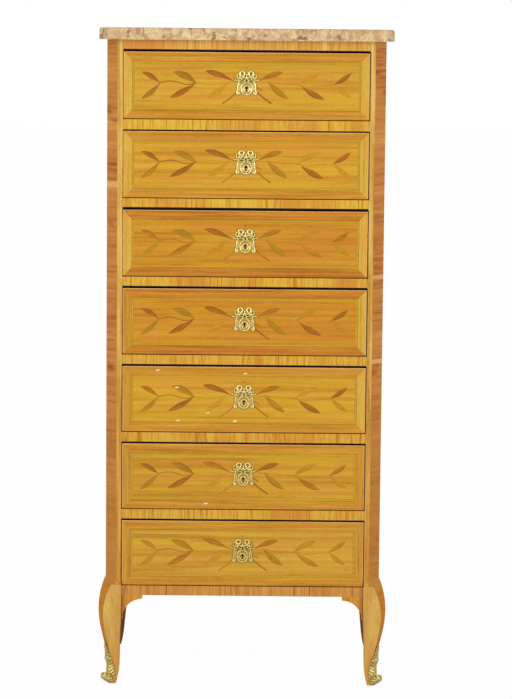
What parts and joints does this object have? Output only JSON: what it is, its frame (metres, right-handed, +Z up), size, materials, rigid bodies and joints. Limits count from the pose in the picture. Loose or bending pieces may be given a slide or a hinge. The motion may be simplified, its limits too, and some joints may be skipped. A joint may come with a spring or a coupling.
{
  "type": "tall chest of drawers",
  "caption": "Tall narrow chest of drawers on cabriole legs, with canted front corners, a marble slab, inlaid drawer fronts, pierced escutcheons and bronze shoes.",
  "frame": {"origin": "on the floor, under the middle of the marble's outline", "axes": "+Z up, the drawer fronts face -Y, +X to the right seen from the front"},
  "size_m": [0.638, 0.38, 1.45],
  "materials": {
    "veneered_case": "french polished",
    "veneered_front": "french polished",
    "plain_wood": "bare",
    "marble": "polished",
    "gilt_bronze": "burnished",
    "lock_steel": "filed"
  },
  "bodies": {
    "case": {"marble_top": "marble", "top_rail": "veneered_case", "bottom_rail": "veneered_case", "drawer_rails": "veneered_case", "front_left_leg": "veneered_case", "rear_left_leg": "veneered_case", "front_right_leg": "veneered_case", "rear_right_leg": "veneered_case", "left_side_panel": "veneered_case", "right_side_panel": "veneered_case", "back_panel": "plain_wood", "corner_ears": "veneered_case", "top_board": "plain_wood", "bottom_board": "plain_wood", "drawer_runners": "plain_wood", "drawer_guides": "plain_wood", "drawer_stops": "plain_wood", "front_sabots": "gilt_bronze"},
    "drawer_1": {"drawer_1_front": "veneered_front", "drawer_1_walls": "plain_wood", "drawer_1_bottom": "plain_wood", "drawer_1_lock": "lock_steel", "drawer_1_escutcheon": "gilt_bronze"},
    "bolt_1": {"drawer_1_bolt": "lock_steel"},
    "drawer_2": {"drawer_2_front": "veneered_front", "drawer_2_walls": "plain_wood", "drawer_2_bottom": "plain_wood", "drawer_2_lock": "lock_steel", "drawer_2_escutcheon": "gilt_bronze"},
    "bolt_2": {"drawer_2_bolt": "lock_steel"},
    "drawer_3": {"drawer_3_front": "veneered_front", "drawer_3_walls": "plain_wood", "drawer_3_bottom": "plain_wood", "drawer_3_lock": "lock_steel", "drawer_3_escutcheon": "gilt_bronze"},
    "bolt_3": {"drawer_3_bolt": "lock_steel"},
    "drawer_4": {"drawer_4_front": "veneered_front", "drawer_4_walls": "plain_wood", "drawer_4_bottom": "plain_wood", "drawer_4_lock": "lock_steel", "drawer_4_escutcheon": "gilt_bronze"},
    "bolt_4": {"drawer_4_bolt": "lock_steel"},
    "drawer_5": {"drawer_5_front": "veneered_front", "drawer_5_walls": "plain_wood", "drawer_5_bottom": "plain_wood", "drawer_5_lock": "lock_steel", "drawer_5_escutcheon": "gilt_bronze"},
    "bolt_5": {"drawer_5_bolt": "lock_steel"},
    "drawer_6": {"drawer_6_front": "veneered_front", "drawer_6_walls": "plain_wood", "drawer_6_bottom": "plain_wood", "drawer_6_lock": "lock_steel", "drawer_6_escutcheon": "gilt_bronze"},
    "bolt_6": {"drawer_6_bolt": "lock_steel"},
    "drawer_7": {"drawer_7_front": "veneered_front", "drawer_7_walls": "plain_wood", "drawer_7_bottom": "plain_wood", "drawer_7_lock": "lock_steel", "drawer_7_escutcheon": "gilt_bronze"},
    "bolt_7": {"drawer_7_bolt": "lock_steel"}
  },
  "joints": [
    {"name": "drawer_1_slide", "type": "slide", "parent": "case", "child": "drawer_1", "axis": [0, -1, 0], "range_m": [0, 0.27]},
    {"name": "bolt_1_slide", "type": "slide", "parent": "drawer_1", "child": "bolt_1", "axis": [0, 0, 1], "range_m": [0, 0.009]},
    {"name": "drawer_2_slide", "type": "slide", "parent": "case", "child": "drawer_2", "axis": [0, -1, 0], "range_m": [0, 0.27]},
    {"name": "bolt_2_slide", "type": "slide", "parent": "drawer_2", "child": "bolt_2", "axis": [0, 0, 1], "range_m": [0, 0.009]},
    {"name": "drawer_3_slide", "type": "slide", "parent": "case", "child": "drawer_3", "axis": [0, -1, 0], "range_m": [0, 0.27]},
    {"name": "bolt_3_slide", "type": "slide", "parent": "drawer_3", "child": "bolt_3", "axis": [0, 0, 1], "range_m": [0, 0.009]},
    {"name": "drawer_4_slide", "type": "slide", "parent": "case", "child": "drawer_4", "axis": [0, -1, 0], "range_m": [0, 0.27]},
    {"name": "bolt_4_slide", "type": "slide", "parent": "drawer_4", "child": "bolt_4", "axis": [0, 0, 1], "range_m": [0, 0.009]},
    {"name": "drawer_5_slide", "type": "slide", "parent": "case", "child": "drawer_5", "axis": [0, -1, 0], "range_m": [0, 0.27]},
    {"name": "bolt_5_slide", "type": "slide", "parent": "drawer_5", "child": "bolt_5", "axis": [0, 0, 1], "range_m": [0, 0.009]},
    {"name": "drawer_6_slide", "type": "slide", "parent": "case", "child": "drawer_6", "axis": [0, -1, 0], "range_m": [0, 0.27]},
    {"name": "bolt_6_slide", "type": "slide", "parent": "drawer_6", "child": "bolt_6", "axis": [0, 0, 1], "range_m": [0, 0.009]},
    {"name": "drawer_7_slide", "type": "slide", "parent": "case", "child": "drawer_7", "axis": [0, -1, 0], "range_m": [0, 0.27]},
    {"name": "bolt_7_slide", "type": "slide", "parent": "drawer_7", "child": "bolt_7", "axis": [0, 0, 1], "range_m": [0, 0.009]}
  ]
}
